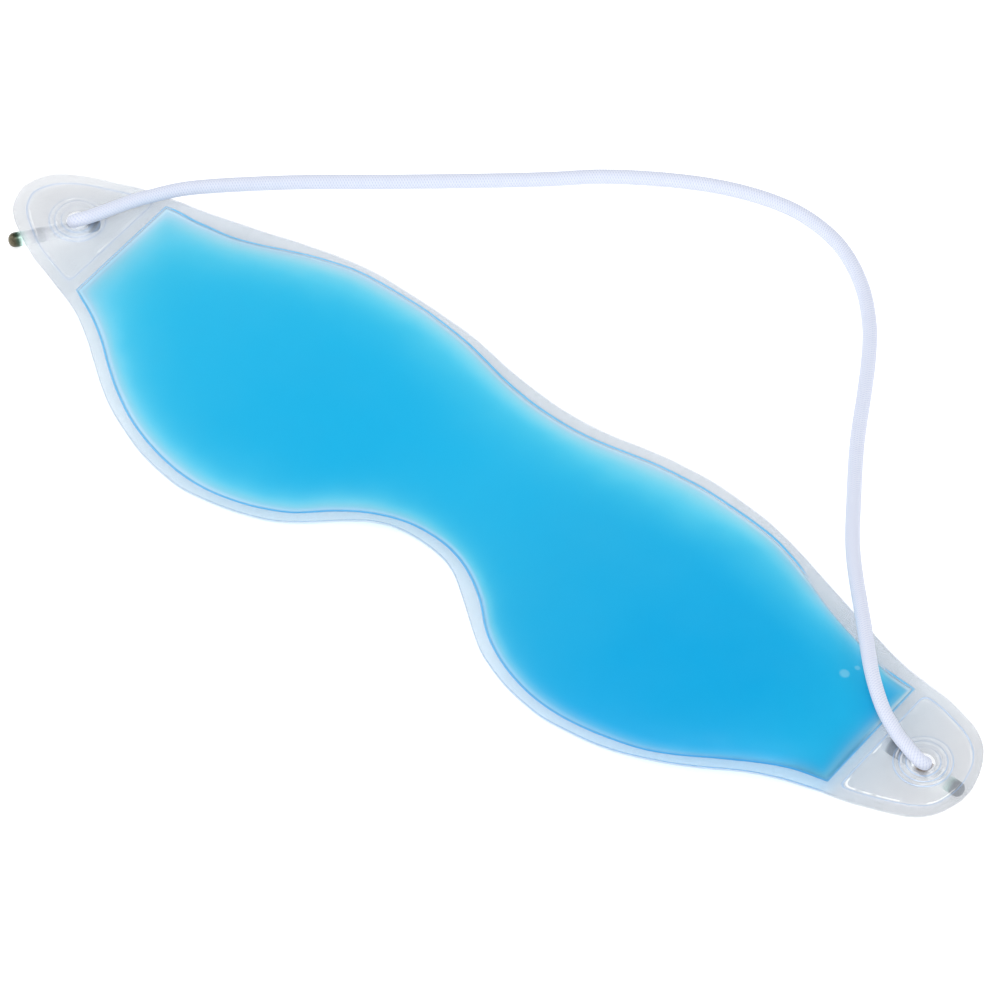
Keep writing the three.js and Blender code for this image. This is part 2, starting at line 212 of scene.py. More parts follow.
def column(x):
    lo, a, b, hi = edge_low(x), weld_low(x), weld_high(x), edge_high(x)
    low = [a + (lo - a) * f for f in reversed(FLANGE[1:])]
    mid = list(a + (b - a) * ACROSS)
    high = [b + (hi - b) * f for f in FLANGE[1:]]
    return np.array(low + mid + high)


NF = len(FLANGE) - 1
grid_y = np.stack([column(x) for x in COLS])
grid_x = np.repeat(COLS[:, None], grid_y.shape[1], 1)
NR, NC = grid_y.shape          # NR columns along x, NC points across

chamber_xy = np.stack([grid_x, grid_y], -1)


def membrane():
    """Height of an inflated membrane over the chamber, 0 at the weld and 1 at most."""
    pts = chamber_xy[:, NF:NF + NA].reshape(-1, 2)
    rows, cols = NR, NA
    q = grid_faces(rows, cols)
    tri = np.concatenate([q[:, [0, 1, 2]], q[:, [0, 2, 3]]])
    p = pts[tri]
    e = [p[:, 2] - p[:, 1], p[:, 0] - p[:, 2], p[:, 1] - p[:, 0]]
    area = 0.5 * np.abs(e[0][:, 0] * e[1][:, 1] - e[0][:, 1] * e[1][:, 0])
    n = len(pts)
    ii, jj, ww = [], [], []
    for k in range(3):
        a, b = tri[:, (k + 1) % 3], tri[:, (k + 2) % 3]
        dot = -(e[(k + 1) % 3] * e[(k + 2) % 3]).sum(1)
        w = 0.5 * dot / (2 * np.maximum(area, 1e-9))
        ii += [a, b]
        jj += [b, a]
        ww += [w, w]
    ii, jj, ww = np.concatenate(ii), np.concatenate(jj), np.concatenate(ww)
    diag = np.bincount(ii, ww, n)
    load = np.bincount(tri.ravel(), np.repeat(area / 3, 3), n)
    free = np.ones((rows, cols), bool)
    free[0] = free[-1] = False
    free[:, 0] = free[:, -1] = False
    free = free.ravel()

    def apply(u):
        return np.where(free, diag * u - np.bincount(ii, ww * u[jj], n), 0)
    b = np.where(free, load, 0)
    minv = np.where(free, 1 / np.maximum(diag, 1e-9), 0)
    u = np.zeros(n)
    r = b - apply(u)
    z = minv * r
    d = z.copy()
    rz = r @ z
    for _ in range(900):
        q_ = apply(d)
        alpha = rz / (d @ q_)
        u += alpha * d
        r -= alpha * q_
        z = minv * r
        new = r @ z
        if new < 1e-12 * (b @ (minv * b)):
            break
        d = z + new / rz * d
        rz = new
    u = np.maximum(u, 0).reshape(rows, cols)
    return u / u.max()


U = membrane()
full = np.zeros((NR, NC))
full[:, NF:NF + NA] = U


def weld_distance(x, y):
    """Distance in mm from each point to the chamber's weld line, roughly, positive inside."""
    lo, hi = weld_low(x), weld_high(x)
    eps = 0.05
    sl = (weld_low(np.abs(x) + eps) - weld_low(np.abs(x) - eps)) / (2 * eps)
    sh = (weld_high(np.abs(x) + eps) - weld_high(np.abs(x) - eps)) / (2 * eps)
    a = (y - lo) / np.sqrt(1 + sl**2)
    b = (hi - y) / np.sqrt(1 + sh**2)
    c = CH - np.abs(x)
    inside = np.minimum(np.minimum(a, b), c)
    # beyond a corner the weld line is as far off as the corner itself
    over_x, over_y = np.maximum(-c, 0), np.maximum(-np.minimum(a, b), 0)
    return np.where(inside >= 0, inside, -np.hypot(over_x, over_y))


# Tab layout: columns fan out from the hole to the tab's edge.
def outline_poly():
    xs = np.concatenate([np.arange(CH, 112, 0.6), np.arange(112, 118, 0.4),
                         np.arange(118, MASK_HALF, 0.12), [MASK_HALF]])
    top = np.stack([xs, edge_high(xs)], 1)
    bottom = np.stack([xs[::-1], edge_low(xs[::-1])], 1)
    return np.concatenate([top, bottom])


def resample(path, step):
    seg = np.linalg.norm(np.diff(path, axis=0), axis=1)
    s = np.concatenate([[0], np.cumsum(seg)])
    n = int(round(s[-1] / step))
    t = np.linspace(0, s[-1], n + 1)
    return np.stack([np.interp(t, s, path[:, k]) for k in range(2)], 1)


tab_edge = resample(outline_poly(), 0.5)      # from the top corner round the tip to the bottom corner
# The tip is rounded a little so that its two halves meet smoothly.
for _ in range(12):
    tab_edge[1:-1] = 0.5 * tab_edge[1:-1] + 0.25 * (tab_edge[2:] + tab_edge[:-2])


def polyline_distance(p, path):
    a, b = path[:-1], path[1:]
    ab = b - a
    out = np.full(len(p), 1e9)
    for s in range(0, len(p), 4000):
        q = p[s:s + 4000, None, :]
        t = np.clip(((q - a) * ab).sum(-1) / (ab * ab).sum(-1), 0, 1)
        near = a + t[..., None] * ab
        out[s:s + 4000] = np.sqrt(((q - near) ** 2).sum(-1)).min(1)
    return out


def pocket_depth(p):
    """How far a tab point lies inside the pocket's line, in mm, with rounded corners."""
    d1 = polyline_distance(p, tab_edge) - POCKET_IN
    d2 = p[:, 0] - BAR
    k = 1.6
    h = np.clip(0.5 + 0.5 * (d2 - d1) / k, 0, 1)
    return d2 * (1 - h) + d1 * h - k * h * (1 - h)


def tab_layout():
    bar_column = np.stack([np.full(NC, CH), grid_y[-1]], 1)           # bottom to top
    loop = np.concatenate([bar_column, tab_edge[1:-1]])               # then round the tip
    d = loop - HOLE
    dist = np.linalg.norm(d, axis=1)
    unit = d / dist[:, None]
    near = np.array([2.32, 2.36, 2.46, 2.6, 2.76, 2.9, 3.02, 3.12, 3.22, 3.34, 3.5, 3.75, 4.05, 4.3,
                     4.44, 4.54, 4.64, 4.76, 4.92, 5.14, 5.34, 5.48, 5.58, 5.68, 5.78, 5.92, 6.12, 6.4, 6.8])
    # where each ray meets the pocket line
    steps = np.linspace(0, 1, 200)
    rp = np.empty(len(loop))
    start = near[-1]
    pts = HOLE + unit[:, None, :] * (start + (dist - start)[:, None] * steps[None, :])[..., None]
    depth = pocket_depth(pts.reshape(-1, 2)).reshape(len(loop), -1)
    for k in range(len(loop)):
        below = np.where(depth[k] < 0)[0]
        i = below[0] if len(below) else 199
        t = steps[i - 1] + (steps[1]) * depth[k, i - 1] / (depth[k, i - 1] - depth[k, i] + 1e-12)
        rp[k] = start + (dist[k] - start) * t
    between = np.array([0.07, 0.16, 0.26, 0.37, 0.48, 0.59, 0.70, 0.80, 0.89, 0.96])
    around = np.array([-0.55, -0.38, -0.25, -0.14, -0.04, 0.06, 0.17, 0.3, 0.5])
    outer = np.array([0.12, 0.28, 0.46, 0.64, 0.80, 0.91, 0.97, 1.0])
    cols = []
    for k in range(len(loop)):
        r1 = rp[k] - 0.6
        r = list(near) + list(near[-1] + (r1 - near[-1]) * between) + list(rp[k] + around)
        r2 = rp[k] + 0.5
        r += list(r2 + (dist[k] - r2) * outer)
        cols.append(HOLE + unit[k] * np.array(r)[:, None])
    return np.stack(cols), len(loop)        # (columns, radial, 2)


tab_xy, TAB_N = tab_layout()
TAB_R = tab_xy.shape[1]
tab_depth = pocket_depth(tab_xy.reshape(-1, 2)).reshape(TAB_N, TAB_R)
tab_r = np.linalg.norm(tab_xy - HOLE, axis=-1)
tab_out = polyline_distance(tab_xy.reshape(-1, 2), tab_edge).reshape(TAB_N, TAB_R)
tab_out[:, -1] = 0


def sheet_layout():
    """All points of a sheet in x, y, and its quads. Left and right tabs join the chamber's end columns."""
    xy = [chamber_xy.reshape(-1, 2)]
    faces = [grid_faces(NR, NC)]
    base = NR * NC
    for side in (1, -1):
        pts = tab_xy.copy()
        pts[..., 0] *= side
        idx = base + np.arange(TAB_N * TAB_R).reshape(TAB_N, TAB_R)
        end = (NR - 1 if side == 1 else 0) * NC + np.arange(NC)
        idx[:NC, -1] = end                  # shared with the chamber's end column
        keep = np.ones((TAB_N, TAB_R), bool)
        keep[:NC, -1] = False
        order = np.full(base + TAB_N * TAB_R, -1)
        xy.append(pts[keep])
        renum = np.full((TAB_N, TAB_R), -1)
        renum[keep] = base + np.arange(keep.sum())
        renum[:NC, -1] = end
        base += keep.sum()
        k0 = np.arange(TAB_N)
        k1 = (k0 + 1) % TAB_N
        a = renum[k0][:, :-1]
        b = renum[k1][:, :-1]
        c = renum[k1][:, 1:]
        d = renum[k0][:, 1:]
        quads = np.stack([a, b, c, d] if side == 1 else [a, d, c, b], -1).reshape(-1, 4)
        faces.append(quads)
        del order
    return np.concatenate(xy), np.concatenate(faces)


XY, QUADS = sheet_layout()
n_chamber = NR * NC
keep = np.ones((TAB_N, TAB_R), bool)
keep[:NC, -1] = False
n_tab = keep.sum()


def on_layout(chamber_values, tab_values):
    return np.concatenate([chamber_values.ravel(), tab_values[keep], tab_values[keep]])


F = on_layout(full, np.zeros((TAB_N, TAB_R)))
D_WELD = on_layout(weld_distance(grid_x, grid_y), np.minimum(weld_distance(np.maximum(tab_xy[..., 0], CH + 1e-6), tab_xy[..., 1]), 0))
D_EDGE = on_layout(
    np.minimum(edge_high(grid_x) - grid_y, grid_y - edge_low(grid_x)), tab_out)
POCKET = on_layout(np.full((NR, NC), -9.0), tab_depth)
RAD = on_layout(np.full((NR, NC), 99.0), tab_r)
X, Y = XY[:, 0], XY[:, 1]


def ripple(x, y, seed):
    """Soft, repeatable unevenness, about -1 to 1."""
    rng = np.random.default_rng(seed)
    out = np.zeros_like(x)
    for _ in range(9):
        a = rng.uniform(0, 2 * math.pi)
        wave = rng.uniform(14, 46)
        out += np.cos((x * math.cos(a) + y * math.sin(a)) * 2 * math.pi / wave + rng.uniform(0, 6.28))
    return out / 4.0


bridge = 1 - 0.2 * np.exp(-((X / 26) ** 2))
lift = F ** 0.62 * (1 - np.exp(-F / 0.10))          # the sheets leave the weld flat, then swell
crown = CROWN * bridge * lift
beads_w = 0.05 * gauss(D_WELD - 0.0, 0.22)
pocket_puff = 0.5 * np.where(POCKET > 0, 1.0, 0) * smooth(0, 3.2, POCKET) * smooth(6.0, 9.0, RAD)
rings = (0.20 * gauss(RAD - 5.6, 0.18) + 0.16 * gauss(RAD - 4.55, 0.16) + 0.20 * gauss(RAD - 3.12, 0.18)
         + 0.10 * gauss(RAD - 2.5, 0.15) - 0.10 * smooth(3.2, 3.5, RAD) * (1 - smooth(4.2, 4.5, RAD)))
pocket_line = 0.17 * gauss(POCKET, 0.17) + 0.07 * gauss(POCKET - 0.75, 0.2)
flange_wave = 0.10 * ripple(X, Y, 3) * smooth(0, 1.2, -D_WELD) * smooth(CH, CH - 12, np.abs(X))
tab_wave = 0.14 * ripple(X * 1.3, Y * 1.3, 5) * smooth(CH + 2, CH + 12, np.abs(X))
common = flange_wave + tab_wave
gel_wave = 0.10 * ripple(X, Y, 8) * smooth(0, 0.35, F)

front_low = WELD_Z + GAP + crown + gel_wave + 0.8 * pocket_puff + common
front_high = front_low + SHEET + beads_w + rings + pocket_line
drop = WELD_Z - GAP - SHEET
soft = 1 - np.exp(-(1.55 * F ** 0.62) ** 3 * 1.4)
soft = np.minimum(soft / soft.max(), 1)
back_high = WELD_Z - GAP - drop * soft - 0.35 * pocket_puff + common * (1 - soft)
back_low = back_high - SHEET - 0.5 * (beads_w + rings + pocket_line)
back_low = np.maximum(back_low, 0.0)


def boundary_loops(quads, n):
    """Directed boundary edges of a quad sheet."""
    e = np.concatenate([quads[:, [0, 1]], quads[:, [1, 2]], quads[:, [2, 3]], quads[:, [3, 0]]])
    key = e[:, 0].astype(np.int64) * n + e[:, 1]
    back = e[:, 1].astype(np.int64) * n + e[:, 0]
    return e[~np.isin(key, back)]


def shell(name, xy, quads, low, high):
    """Closed shell between two height fields over the same layout. quads face down."""
    n = len(xy)
    top = np.column_stack([xy, high])
    bottom = np.column_stack([xy, low])
    q = quads
    a = xy[q[:, 0]]
    b = xy[q[:, 1]]
    c = xy[q[:, 2]]
    area = np.cross(b - a, c - a)
    if np.median(area) > 0:
        q = q[:, ::-1]
    up = q[:, ::-1]
    edges = boundary_loops(up, n)
    walls = np.stack([edges[:, 1], edges[:, 0], edges[:, 0] + n, edges[:, 1] + n], 1)
    return make_object(name, np.concatenate([top, bottom]), [up, q + n, walls])


def doubled(v):
    return np.concatenate([v, v])


LAID = np.column_stack(laid(X, Y))
front = shell("front_sheet_film", LAID, QUADS, front_low, front_high)
back = shell("back_sheet_film", LAID, QUADS, back_low, back_high)
# How blue the film looks: gel colour is carried along inside the margins, most on the nose side.
across = Y - 0.5 * (edge_low(X) + edge_high(X))
nose = smooth(6.0, -6.0, across)
NOSE_BLUE = np.interp(X, [-96, -80, -50, -20, 0, 20, 50, 80, 96], [.20, .36, .50, .72, .66, .52, .80, 1.0, .9])
BLUE = (0.16 * (1 - nose) + NOSE_BLUE * nose) * smooth(CH + 3.5, CH - 1.5, np.abs(X)) \
    + 0.16 * smooth(CH - 1, CH + 3, np.abs(X)) * smooth(CH + 18, CH + 2, np.abs(X))
# How much of the floor the film hides: least on the nose side, more on the tabs, most at the brow and the right rim.
pocket_in = smooth(-0.3, 0.4, POCKET)
toward = smooth(MASK_HALF - 6, CH + 2, np.abs(X))          # 1 at the bar, 0 at the tip
left_tab = 0.188 * (1 - pocket_in) + (0.198 - 0.014 * toward) * pocket_in
right_tab = (0.223 - 0.012 * toward) * (1 - pocket_in) + (0.210 - 0.008 * toward) * pocket_in
brow_film = np.interp(X, [-96, -80, -50, 40, 60, 78, 96], [.216, .229, .224, .227, .236, .242, .230])
nose_film = np.interp(X, [-96, -45, -20, 0, 15, 50, 96], [.150, .148, .116, .126, .152, .144, .160])
chamber_film = brow_film * (1 - nose) + nose_film * nose
tab_share = smooth(CH - 3, CH + 2.5, np.abs(X))
FILM = chamber_film * (1 - tab_share) + np.where(X < 0, left_tab, right_tab) * tab_share
# The line of the gel weld, which the gel hides along the right brow.
LINE = (1 - 0.92 * (1 - nose) * smooth(60, 67, X) * smooth(91, 86, X)) \
    * (1 - np.where(X < 0, 0.30, 0.18) * smooth(CH - 2, CH - 0.7, np.abs(X))) \
    * (1 + 0.14 * (1 - nose) * (gauss(X + 18, 20) + gauss(X - 54, 9)))
# Along the brow the line stands a little further in or out than the weld of the symmetric mask.
SHIFT = np.interp(X, [-93, -88, -80, -56, -20, 30, 60, 66], [0, .12, .2, .1, 0, .02, -.1, 0]) * (1 - nose)
# The marks of the welding tool show on the front face, and faintly on the back one.
none = np.zeros(len(X))
attribute(front, "mark", np.concatenate([none + 1, none]))
attribute(back, "mark", np.concatenate([none, none + 0.35]))
for obj in (front, back):
    attribute(obj, "weld", doubled(D_WELD - SHIFT))
    attribute(obj, "edge", doubled(D_EDGE))
    attribute(obj, "pocket", doubled(POCKET))
    attribute(obj, "radius", doubled(RAD))
    attribute(obj, "blue", doubled(BLUE))
    attribute(obj, "film", doubled(FILM))
    attribute(obj, "line", doubled(LINE if obj is front else 0 * LINE))

# ------------------------------------------------------------------------ gel
gel_cols = np.where(np.abs(COLS) <= CH - 0.1)[0]
sub = np.s_[gel_cols[0]:gel_cols[-1] + 1, NF + 1:NF + NA - 1]
chamber_front = front_low[:n_chamber].reshape(NR, NC)[sub]
chamber_back = back_high[:n_chamber].reshape(NR, NC)[sub]
gx, gy = grid_x[sub], grid_y[sub]
g_top = chamber_front - 0.02
g_low = chamber_back + 0.02
mid = 0.5 * (g_top + g_low)
thin = g_top - g_low < 0.02
g_top = np.where(thin, mid + 0.01, g_top)
g_low = np.where(thin, mid - 0.01, g_low)
gr, gc = gx.shape
gel = shell("gel_body", np.column_stack(laid(gx.ravel(), gy.ravel())), grid_faces(gr, gc),
            g_low.ravel(), g_top.ravel())


# How deep the gel's colour is at some distances inside the weld: 0 is a pale skin, 1 the full colour. The
# gel has settled towards the nose side and the right lobe, so the taper is wide at the brow and the left
# end and narrow elsewhere. One row for each station along x.
DEPTHS = np.array([0.4, 1.2, 3.0, 6.0, 13.0, 26.0])
BROW_TAPER = np.array([
    [-95, -.06, .00, .08, .24, .42, .66], [-80, -.05, .01, .08, .29, .55, .95], [-65, -.07, .00, .06, .23, .56, 1.0],
    [-50, -.06, .01, .07, .28, .58, 1.0], [-35, -.04, .03, .13, .34, .62, 1.0], [-15, -.02, .06, .20, .42, .62, 1.0],
    [0, -.04, .03, .14, .37, .62, 1.0], [20, -.06, .00, .07, .26, .60, 1.0], [32, -.05, .02, .09, .25, .56, 1.0],
    [45, -.03, .04, .15, .36, .60, 1.0], [60, -.01, .06, .25, .47, .70, 1.15], [70, .00, .09, .31, .50, .76, 1.25],
    [77, .05, .15, .37, .56, .82, 1.3], [86, .10, .20, .42, .60, .84, 1.3], [95, .00, .10, .36, .58, .80, 1.2]], float)
NOSE_TAPER = np.array([
    [-95, -.06, .00, .09, .17, .38, .66], [-80, -.04, .05, .25, .43, .62, .95], [-60, -.02, .08, .31, .50, .68, 1.0],
    [-50, -.04, .05, .28, .54, .76, 1.0], [-35, .00, .10, .39, .60, .78, 1.0], [-20, .02, .13, .42, .66, .85, 1.0],
    [-10, .00, .12, .40, .64, .82, 1.0], [0, .08, .20, .48, .72, .86, 1.0], [10, .14, .27, .54, .70, .82, 1.0],
    [20, .05, .17, .50, .68, .80, 1.0], [32, .02, .14, .50, .66, .80, 1.0], [42, .04, .20, .60, .76, .92, 1.1],
    [52, .08, .28, .70, .84, 1.1, 1.3], [64, .16, .36, .76, .90, 1.2, 1.3], [77, .20, .42, .80, .96, 1.2, 1.3],
    [88, .16, .34, .70, .84, 1.0, 1.2], [95, .06, .22, .54, .70, .85, 1.1]], float)
LEFT_TAPER = [-.05, .01, .115, .28, .58, 1.0]
RIGHT_TAPER = [.00, .14, .60, .80, 1.0, 1.2]


def stations(table, x):
    """The table's columns at x, smoothed along x."""
    fine = np.linspace(-110, 110, 441)
    kernel = gauss(np.arange(-16, 17) * 0.5, 4.5)
    kernel /= kernel.sum()
    out = []
    for k in range(1, table.shape[1]):
        v = np.interp(fine, table[:, 0], table[:, k])
        out.append(np.interp(x, fine[16:-16], np.convolve(v, kernel, "valid")))
    return out


def taper(values, d):
    """Smooth curve through the values at DEPTHS."""
    v = [np.broadcast_to(np.asarray(u, float), d.shape) for u in values]
    n = len(DEPTHS)
    m = [(v[min(k + 1, n - 1)] - v[max(k - 1, 0)]) / (DEPTHS[min(k + 1, n - 1)] - DEPTHS[max(k - 1, 0)]) for k in range(n)]
    out = v[0] + (d - DEPTHS[0]) * m[0]
    for k in range(n - 1):
        h = DEPTHS[k + 1] - DEPTHS[k]
        t = (d - DEPTHS[k]) / h
        piece = ((2 * t**3 - 3 * t**2 + 1) * v[k] + (t**3 - 2 * t**2 + t) * h * m[k]
                 + (-2 * t**3 + 3 * t**2) * v[k + 1] + (t**3 - t**2) * h * m[k + 1])
        out = np.where(d >= DEPTHS[k], piece, out)
    return np.where(d > DEPTHS[-1], v[-1] + 0 * d, out)


def edge_tone():
    """0 where the gel tapers to nothing at the weld, 1 where it is deep."""
    lo, hi = weld_low(gx), weld_high(gx)
    eps = 0.05
    sl = (weld_low(np.abs(gx) + eps) - weld_low(np.abs(gx) - eps)) / (2 * eps)
    sh = (weld_high(np.abs(gx) + eps) - weld_high(np.abs(gx) - eps)) / (2 * eps)
    top = taper(stations(BROW_TAPER, gx), (hi - gy) / np.sqrt(1 + sh**2))
    low = taper(stations(NOSE_TAPER, gx), (gy - lo) / np.sqrt(1 + sl**2))
    left = taper(LEFT_TAPER, gx + CH)
    right = taper(RIGHT_TAPER, CH - gx)
    # a soft minimum of the four
    k = 0.045
    stack = np.stack([top, low, left, right])
    return np.clip(-k * np.log(np.exp(-np.clip(stack, -1, 6) / k).sum(0)), 0, 1.6)


attribute(gel, "tone", doubled(edge_tone().ravel()))
# Just inside the weld the two sheets touch and only a skin of gel is left between them, except along
# the right brow, where the gel comes right up to the weld.
gel_brow = smooth(-6, 6, gy - 0.5 * (edge_low(gx) + edge_high(gx)))
skin = smooth(1.15, 0.55, weld_distance(gx, gy)) * (1 - 0.9 * gel_brow * smooth(62, 68, gx) * smooth(92, 87, gx))
attribute(gel, "skin", doubled(skin.ravel()))
# the gel is a purer blue along the right lobe's nose side and the right end
inward = np.maximum(weld_distance(gx, gy) - 1.0, 0)
pure_brow = 0.4 * gel_brow * smooth(48, 60, gx) * np.exp(-inward / 2.5)
attribute(gel, "pure", doubled(np.maximum(np.maximum((1 - gel_brow) * smooth(12, 52, gx), smooth(CH - 9, CH - 2, gx)),
                                          pure_brow).ravel()))
# painted light: the gel's colour is scaled up along the brow just inside the weld, where the slope and the cord shade
# it, and scaled down on the brow near x = -14, towards the right end and on the nose side near the centre
attribute(gel, "lift", doubled((1 + 0.11 * gel_brow * np.exp(-inward / 2.4) * (1 - 0.7 * smooth(40, 62, gx))
                                + 0.10 * gel_brow * smooth(64, 72, gx) * np.exp(-inward / 5)
                                - 0.10 * gel_brow * gauss(gx + 14, 20) * np.exp(-inward / 0.8)
                                - 0.22 * smooth(CH - 12, CH - 4, gx) * np.exp(-inward / 1.5)
                                - 0.12 * (1 - gel_brow) * gauss(gx + 5, 28) * np.exp(-inward / 3.5)).ravel()))

# ----------------------------------------------------------------------- cord
CORD_PATH = np.array([
    [-107.9, 3.0, 4.05], [-107.65, 2.95, 4.5], [-107.2, 2.9, 5.1], [-106.5, 3.0, 5.8],
    [-105.2, 4.1, 6.4], [-103.3, 7.5, 6.6], [-100.8, 12.7, 6.6], [-98.1, 17.6, 6.3], [-95.4, 22.0, 5.9],
    [-91.9, 26.6, 5.2], [-79.6, 40.1, 3.1], [-60.7, 56.9, 1.7], [-41.2, 73.6, 1.45], [-32.6, 81.4, 1.45],
    [-21, 89.5, 1.45], [-10.9, 94.9, 1.45], [-1.1, 98.2, 1.45], [6.7, 99.1, 1.45],
    [16.5, 97.4, 1.45], [26.1, 92.0, 1.45], [33.7, 84.6, 1.45], [38.6, 77.8, 1.45],
    [43.3, 70.1, 1.5], [49.6, 59.4, 1.8], [58.1, 46.9, 2.9], [66.7, 35.1, 4.9],
    [80.3, 20.4, 7.9], [88.9, 11.6, 8.6], [93.5, 7.9, 8.2], [95.7, 6.5, 7.8], [98.2, 5.3, 7.3],
    [100.8, 4.2, 6.9], [103.9, 3.3, 6.6], [105.8, 2.9, 6.2], [106.9, 2.9, 5.6], [107.45, 3.2, 5.0],
    [107.65, 3.6, 4.5], [107.7, 4.0, 4.05]], float)
LEFT_NECK, RIGHT_NECK = np.array([-108.3, 2.4]), np.array([107.7, 4.2])
BARB_Z, BARB_R, BARB_HALF = 2.0, 1.55, 9.6


def catmull(points, per=40):
    """Centripetal Catmull-Rom through the points."""
    p = np.vstack([2 * points[0] - points[1], points, 2 * points[-1] - points[-2]])
    out = []
    for i in range(1, len(p) - 2):
        p0, p1, p2, p3 = p[i - 1], p[i], p[i + 1], p[i + 2]
        t = [0.0]
        for a, b in ((p0, p1), (p1, p2), (p2, p3)):
            t.append(t[-1] + max(np.linalg.norm(b - a), 1e-6) ** 0.5)
        u = np.linspace(t[1], t[2], per, endpoint=False)[:, None]
        a1 = (t[1] - u) / (t[1] - t[0]) * p0 + (u - t[0]) / (t[1] - t[0]) * p1
        a2 = (t[2] - u) / (t[2] - t[1]) * p1 + (u - t[1]) / (t[2] - t[1]) * p2
        a3 = (t[3] - u) / (t[3] - t[2]) * p2 + (u - t[2]) / (t[3] - t[2]) * p3
        b1 = (t[2] - u) / (t[2] - t[0]) * a1 + (u - t[0]) / (t[2] - t[0]) * a2
        b2 = (t[3] - u) / (t[3] - t[1]) * a2 + (u - t[1]) / (t[3] - t[1]) * a3
        out.append((t[2] - u) / (t[2] - t[1]) * b1 + (u - t[1]) / (t[2] - t[1]) * b2)
    out.append(points[-1:])
    return np.vstack(out)


def arc_resample(path, n):
    s = np.concatenate([[0], np.cumsum(np.linalg.norm(np.diff(path, axis=0), axis=1))])
    t = np.linspace(0, s[-1], n)
    return np.stack([np.interp(t, s, path[:, k]) for k in range(3)], 1), s[-1]


neck_l = np.array([[*LEFT_NECK, z] for z in (1.2, 2.0, 2.8, 3.3, 3.6)])
neck_r = np.array([[*RIGHT_NECK, z] for z in (3.6, 3.3, 2.8, 2.0, 1.2)])
dense = np.vstack([neck_l, catmull(CORD_PATH), neck_r])
centre, CORD_LEN = arc_resample(dense, 2200)
# take the kinks out where the straight necks meet the curve
for _ in range(14):
    centre[1:-1] = 0.5 * centre[1:-1] + 0.25 * (centre[2:] + centre[:-2])


def frames(path):
    t = np.gradient(path, axis=0)
    t /= np.linalg.norm(t, axis=1)[:, None]
    n = np.zeros_like(path)
    v = np.array([1.0, 0, 0])
    for i in range(len(path)):
        v = v - t[i] * (v @ t[i])
        v /= np.linalg.norm(v)
        n[i] = v
    return t, n, np.cross(t, n)


centre[:, 2] += 0.09 * smooth(2.2, 1.6, centre[:, 2]) * smooth(20, 40, np.abs(centre[:, 1]))
T, N_, B_ = frames(centre)
s_arc = np.linspace(0, CORD_LEN, len(centre))
from_end = np.minimum(s_arc, CORD_LEN - s_arc)
z_rise = from_end + 1.2                    # height on the straight necks
cord_r = 0.8 + (CORD_R - 0.8) * smooth(3.45, 4.35, z_rise) + 0.09 * smooth(14, 40, z_rise)      # slack cord is a little fuller


def tube(name, path, n, b, radius, sides, bore=None, relief=None, arc=None, offset=(0, 0)):
    count = len(path)
    phi = 2 * math.pi * np.arange(sides) / sides
    verts = []
    r = np.repeat(np.asarray(radius)[:, None], sides, 1)
    height = np.zeros_like(r)
    if relief is not None:
        height = relief(arc[:, None], phi[None, :])
        r = r + height * (r / CORD_R)
    c = path + n * offset[0] + b * offset[1]
    ring = c[:, None, :] + r[..., None] * (n[:, None, :] * np.cos(phi)[None, :, None] + b[:, None, :] * np.sin(phi)[None, :, None])
    verts.append(ring.reshape(-1, 3))
    faces = [grid_faces(count, sides, 0, flip=True, wrap=True)]
    if bore is not None:
        few = np.unique(np.append(np.arange(0, count, 4), count - 1))      # the bore needs fewer rings
        inner = c[few, None, :] + bore[few, None, None] * (n[few, None, :] * np.cos(phi)[None, :, None] + b[few, None, :] * np.sin(phi)[None, :, None])
        verts.append(inner.reshape(-1, 3))
        faces.append(grid_faces(len(few), sides, count * sides, flip=False, wrap=True))
        k = np.arange(sides)
        k1 = (k + 1) % sides
        off = count * sides
        faces.append(np.stack([k, k1, k1 + off, k + off], 1))
        last = (count - 1) * sides
        end = off + (len(few) - 1) * sides
        faces.append(np.stack([last + k1, last + k, end + k, end + k1], 1))
    else:
        k = np.arange(1, sides - 1)
        faces.append(np.stack([np.zeros_like(k), k, k + 1], 1))
        last = (count - 1) * sides
        faces.append(np.stack([np.full_like(k, last), last + k + 1, last + k], 1))
    return make_object(name, np.concatenate(verts), faces), height


CARRIERS = 8
PITCH = 4.6        # mm along the cord for one turn of a braid yarn


def braid(arc, phi):
    """Over and under relief of a round braid, in mm."""
    a = CARRIERS * phi / (2 * math.pi) + CARRIERS * arc / PITCH / 1.0
    b = CARRIERS * phi / (2 * math.pi) - CARRIERS * arc / PITCH / 1.0
    ra = np.abs(np.cos(math.pi * a)) ** 0.8
    rb = np.abs(np.cos(math.pi * b)) ** 0.8
    over = 0.5 + 0.5 * np.tanh(3.0 * np.sin(math.pi * (a + 0.5)) * np.sin(math.pi * (b + 0.5)))
    h = np.maximum(ra * (0.45 + 0.55 * over), rb * (1.0 - 0.55 * over))
    return 0.085 * (h - 0.75)


bore_r = 0.45 + 0.60 * smooth(3.6, 4.5, z_rise)
jacket, relief = tube("cord_braid", centre, N_, B_, cord_r, 32, bore=bore_r, relief=braid, arc=s_arc)
attribute(jacket, "relief", np.append(relief.ravel(), np.full(len(jacket.data.vertices) - relief.size, -0.05)))

strands = []
inner = (z_rise > 5.2)
core_path, cn, cb = centre[inner][::6], N_[inner][::6], B_[inner][::6]
for i in range(7):
    a = 2 * math.pi * i / 6
    off = (0.0, 0.0) if i == 6 else (0.66 * math.cos(a), 0.66 * math.sin(a))
    s, _ = tube(f"rubber_thread_{i + 1}", core_path, cn, cb, np.full(len(core_path), 0.28), 8, offset=off)
    strands.append(s)


